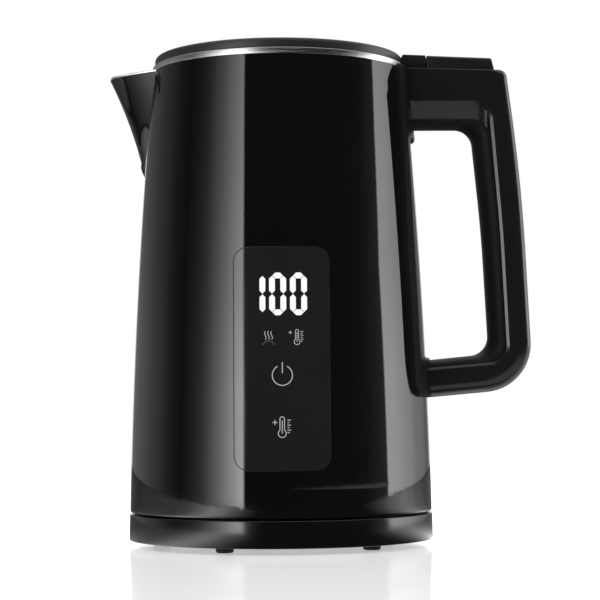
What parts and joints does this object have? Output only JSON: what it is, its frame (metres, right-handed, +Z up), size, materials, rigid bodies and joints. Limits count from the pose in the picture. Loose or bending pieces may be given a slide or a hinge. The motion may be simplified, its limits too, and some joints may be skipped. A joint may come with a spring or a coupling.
{
  "type": "electric kettle",
  "caption": "Double-wall electric kettle with a tapered body, V spout, loop handle, hinged lid with a release button, touch panel and a round power base.",
  "frame": {"origin": "on the kettle's axis, at the surface that the feet of the power base stand on", "axes": "+Z up along the kettle's axis, spout to -X, handle to +X, touch panel to -Y"},
  "size_m": [0.2085, 0.1506, 0.2432],
  "materials": {
    "base_black": "satin gloss",
    "under_black": "fine texture",
    "socket_grey": "moulded",
    "contact_brass": "plain",
    "foot_rubber": "matte",
    "screw_steel": "plain",
    "gland_rubber": "matte",
    "coupler_ivory": "moulded, with metal blades",
    "shell_black": "high gloss",
    "vessel_steel": "brushed",
    "ring_steel": "polished",
    "liner_steel": "polished",
    "filter_steel": "plain",
    "plate_aluminium": "cast",
    "element_steel": "dull",
    "control_ivory": "moulded",
    "sensor_steel": "polished",
    "board_green": "circuit board",
    "relay_blue": "moulded",
    "cable_grey": "flat cable",
    "panel_smoke": "smoked gloss",
    "display_white": "lit segments",
    "led_white": "lit",
    "handle_black": "gloss",
    "grip_black": "satin",
    "bracket_steel": "plain",
    "pin_steel": "ground",
    "spring_steel": "wire",
    "lid_black": "gloss",
    "gasket_silicone": "silicone",
    "button_black": "satin gloss",
    "catch_grey": "moulded"
  },
  "bodies": {
    "power_base": {"base_cover": "base_black", "base_plate": "under_black", "base_socket": "socket_grey", "base_contacts": "contact_brass", "base_feet": "foot_rubber", "base_screws": "screw_steel", "cord_gland": "gland_rubber"},
    "coupler": {"coupler": "coupler_ivory"},
    "kettle": {"outer_shell": "shell_black", "inner_vessel": "vessel_steel", "rim_ring": "ring_steel", "spout_liner": "liner_steel", "spout_filter": "filter_steel", "heater_plate": "plate_aluminium", "heating_element": "element_steel", "boil_control": "control_ivory", "temperature_sensor": "sensor_steel", "bottom_cover": "under_black", "bottom_screws": "screw_steel", "control_board": "board_green", "power_relay": "relay_blue", "display_cable": "cable_grey", "control_panel": "panel_smoke", "display_board": "board_green", "led_display": "display_white", "indicator_leds": "led_white", "touch_springs": "contact_brass", "handle_mount": "handle_black", "handle_shell": "handle_black", "handle_grip": "grip_black", "handle_screws": "screw_steel", "hinge_bracket": "bracket_steel", "hinge_pin": "pin_steel", "button_spring": "spring_steel"},
    "lid": {"lid_cover": "lid_black", "lid_liner": "vessel_steel", "lid_gasket": "gasket_silicone", "lid_frame": "under_black", "lid_screws": "screw_steel"},
    "lid_button": {"lid_button": "button_black"},
    "lid_catch": {"lid_catch": "catch_grey"}
  },
  "joints": [
    {"name": "kettle_lift", "type": "slide", "parent": "power_base", "child": "coupler", "axis": [0, 0, 1], "range_m": [0, 0.08]},
    {"name": "kettle_turn", "type": "hinge", "parent": "coupler", "child": "kettle", "pos_m": [0, 0, 0.03], "axis": [0, 0, 1], "continuous": true},
    {"name": "lid_hinge", "type": "hinge", "parent": "kettle", "child": "lid", "pos_m": [0.0697, 0, 0.2386], "axis": [0, 1, 0], "range_deg": [0, 80]},
    {"name": "button_press", "type": "slide", "parent": "kettle", "child": "lid_button", "axis": [0, 0, -1], "range_m": [0, 0.003], "stiffness_N_per_m": 600, "springref_m": -0.003, "deforming": ["button_spring"]},
    {"name": "catch_slide", "type": "slide", "parent": "kettle", "child": "lid_catch", "axis": [1, 0, 0], "range_m": [0, 0.003]}
  ],
  "couplings": [
    {"joint": "catch_slide", "follows": "button_press", "ratio": 1}
  ]
}
